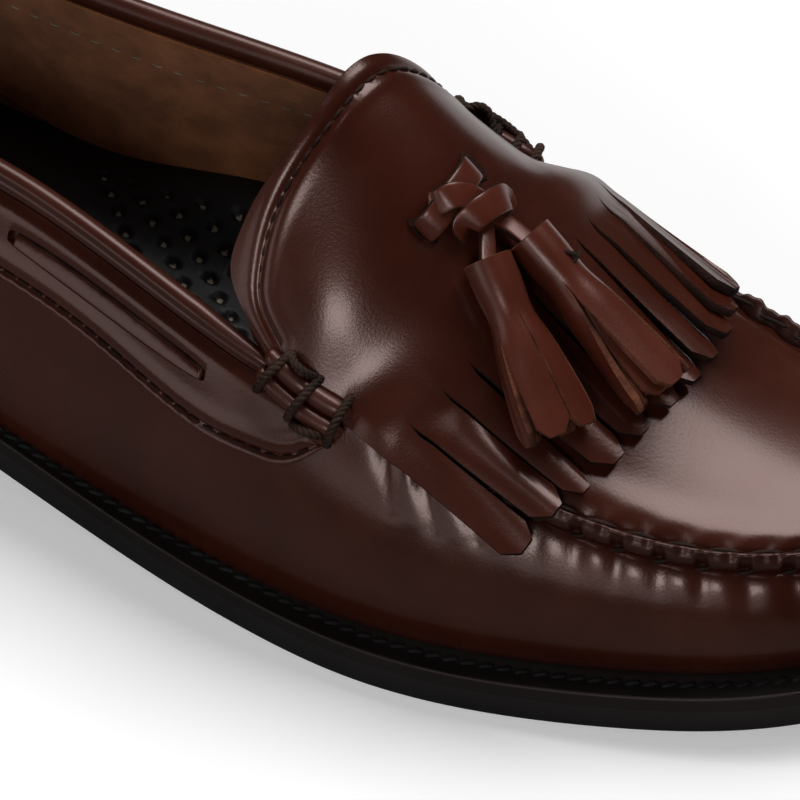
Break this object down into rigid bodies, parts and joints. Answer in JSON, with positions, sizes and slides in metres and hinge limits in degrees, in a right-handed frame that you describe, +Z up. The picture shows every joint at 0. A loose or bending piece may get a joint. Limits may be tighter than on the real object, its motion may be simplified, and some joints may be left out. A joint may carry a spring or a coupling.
{
  "type": "tassel loafer",
  "caption": "Right slip-on loafer of glossy burgundy leather with a raised apron seam, a fringed kiltie, a tied thong with hanging tassels, and a black welted sole with a low heel.",
  "frame": {"origin": "on the floor below the middle of the sole's outline", "axes": "+X toward the toe, +Y toward the medial side, +Z up"},
  "size_m": [0.3005, 0.1053, 0.0965],
  "materials": {
    "leather": "polished burgundy brown",
    "leather_edge": "polished, darker burgundy brown",
    "cord": "waxed dark brown",
    "sole": "satin black",
    "welt": "satin black",
    "sock": "matt black"
  },
  "bodies": {
    "root": {"outsole": "sole", "heel": "sole", "welt": "welt", "insole": "sock", "upper": "leather", "kiltie": "leather", "collar_strip": "leather", "tassel_near": "leather", "tassel_far": "leather", "topline_binding": "leather_edge", "window_thong_lateral": "leather_edge", "window_thong_medial": "leather_edge", "lace_knot": "leather_edge", "side_roll_lateral": "cord", "side_roll_medial": "cord"}
  },
  "joints": []
}
